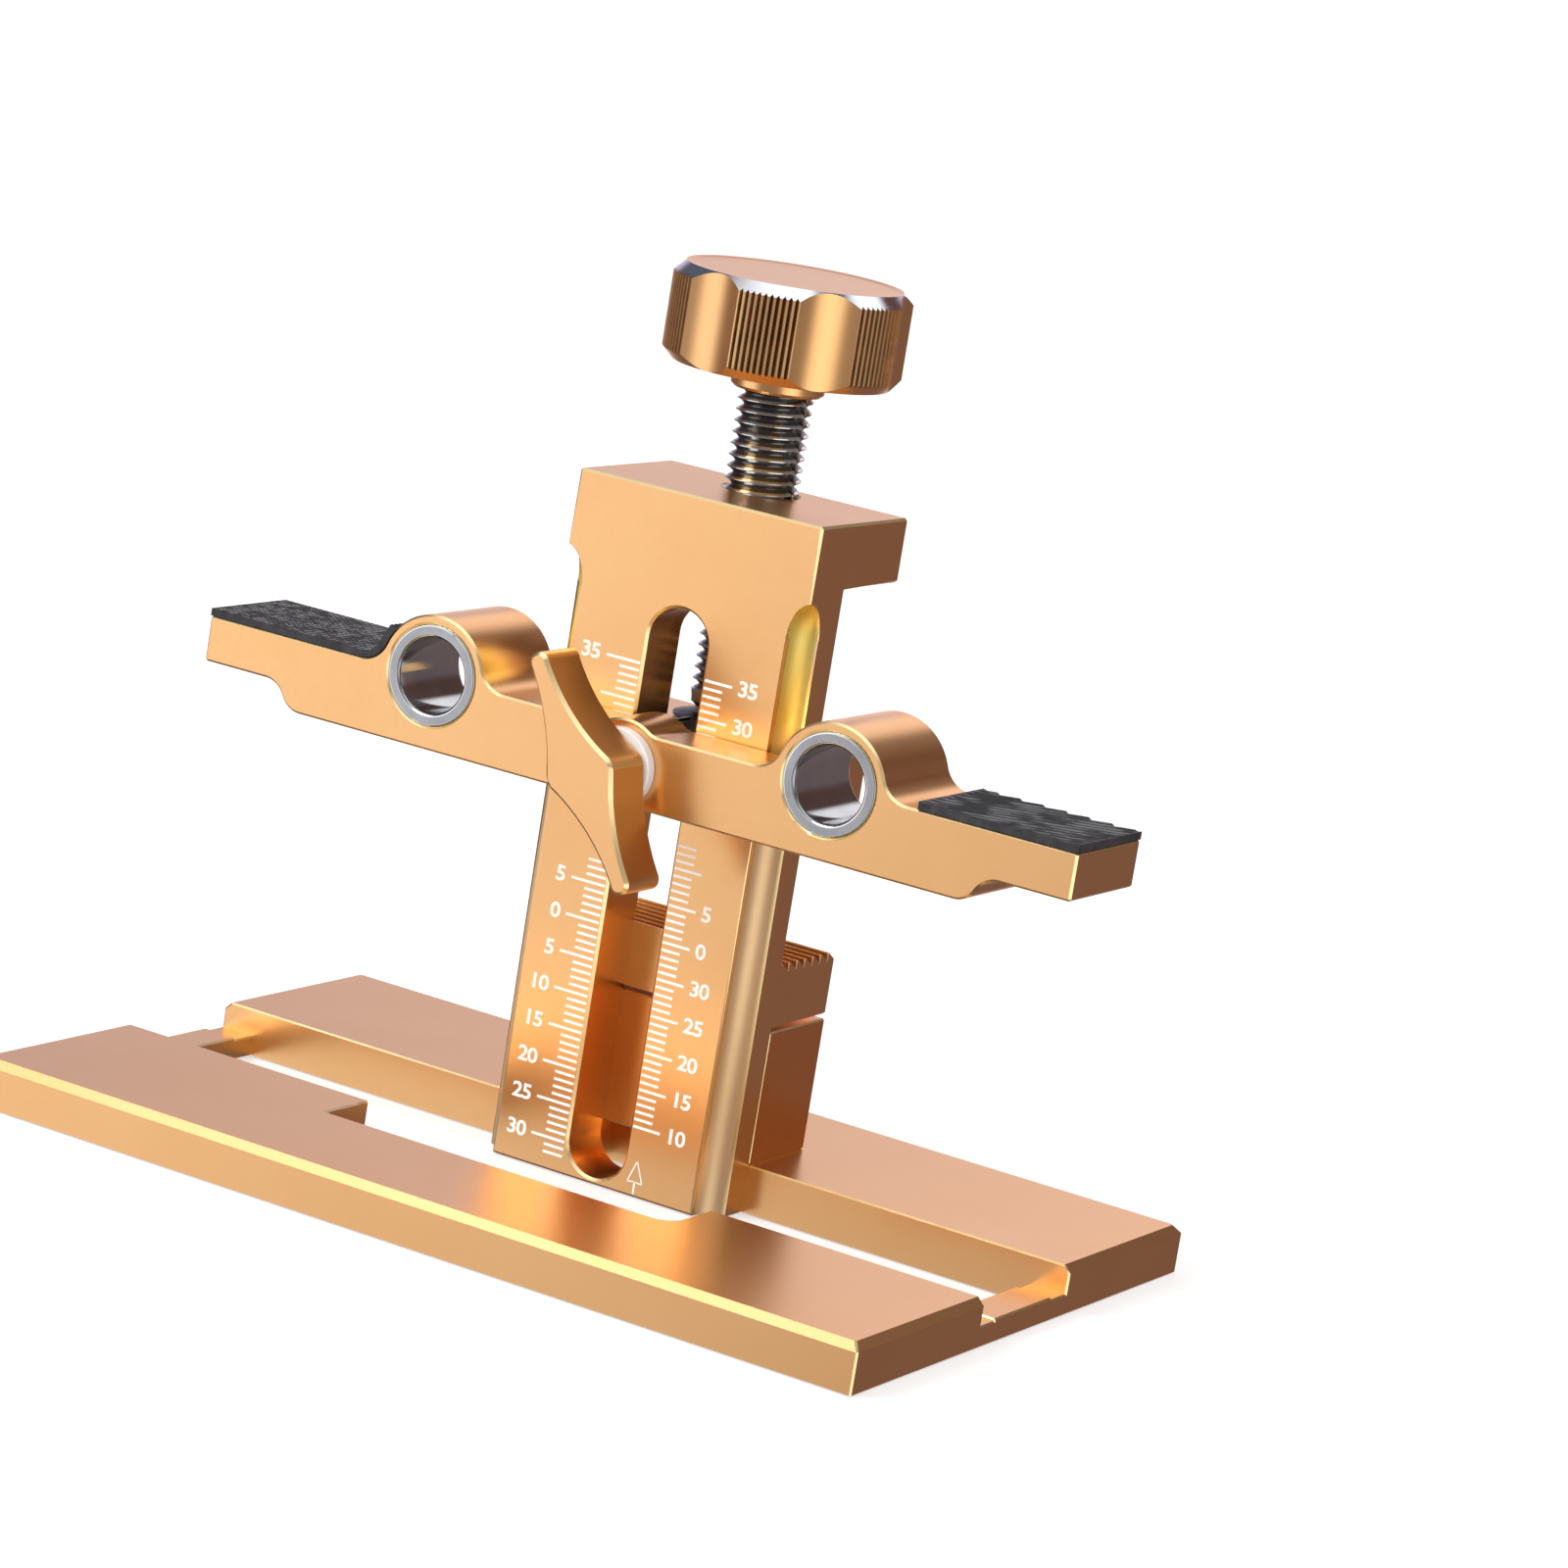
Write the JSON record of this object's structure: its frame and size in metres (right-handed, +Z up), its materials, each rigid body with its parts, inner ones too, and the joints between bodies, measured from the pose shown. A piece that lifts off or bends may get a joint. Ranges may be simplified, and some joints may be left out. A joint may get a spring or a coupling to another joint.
{
  "type": "dowel joiner",
  "caption": "Hand doweling jig: slotted column on a base, sliding drill guide bar with steel bushings, lever lock and knob-driven clamp over a toothed jaw.",
  "frame": {"origin": "middle of the underside of the base plate", "axes": "+X along the guide bar, +Y from the winged lever towards the clamp screw, +Z up along the column"},
  "size_m": [0.1334, 0.0878, 0.121],
  "materials": {
    "gold_anodised": "satin gold anodised",
    "hardened_steel": "ground and hardened",
    "bright_steel": "bright plated",
    "black_steel": "black oxide",
    "black_rubber": "matt, ribbed",
    "white_nylon": "smooth",
    "white_fill": "enamel in engraved marks"
  },
  "bodies": {
    "root": {"base_plate": "gold_anodised", "riser_block": "gold_anodised", "base_screws": "black_steel", "riser_screws": "black_steel", "column": "gold_anodised"},
    "bar": {"guide_bar": "gold_anodised", "left_bushing": "hardened_steel", "right_bushing": "hardened_steel", "bushing_screws": "black_steel", "left_pad": "black_rubber", "right_pad": "black_rubber", "washer": "white_nylon", "slot_key": "black_steel"},
    "lever": {"wing_lever": "gold_anodised", "lever_stud": "bright_steel"},
    "nut": {"cone_nut": "bright_steel"},
    "foot": {"foot_plate": "gold_anodised", "foot_disc": "black_steel", "foot_clip": "black_steel"},
    "screw": {"clamp_screw": "bright_steel", "clamp_knob": "gold_anodised", "knob_screw": "black_steel"}
  },
  "joints": [
    {"name": "bar_slide", "type": "slide", "parent": "root", "child": "bar", "axis": [0, 0, 1], "range_m": [-0.039, 0.0148]},
    {"name": "lever_turn", "type": "hinge", "parent": "bar", "child": "lever", "pos_m": [0, 0, 0.0576], "axis": [0, 1, 0], "range_deg": [-270, 0]},
    {"name": "nut_slide", "type": "slide", "parent": "bar", "child": "nut", "axis": [0, -1, 0], "range_m": [-0.001, 0.0001]},
    {"name": "screw_feed", "type": "slide", "parent": "root", "child": "foot", "axis": [0, 0, -1], "range_m": [-0.02, 0.013]},
    {"name": "screw_turn", "type": "hinge", "parent": "foot", "child": "screw", "pos_m": [0, 0.01855, 0.1], "axis": [0, 0, -1], "range_deg": [-4810, 3130]}
  ],
  "couplings": [
    {"joint": "nut_slide", "follows": "lever_turn", "m_per_rad": 0.00015915},
    {"joint": "screw_turn", "follows": "screw_feed", "rad_per_m": 4188.8}
  ]
}
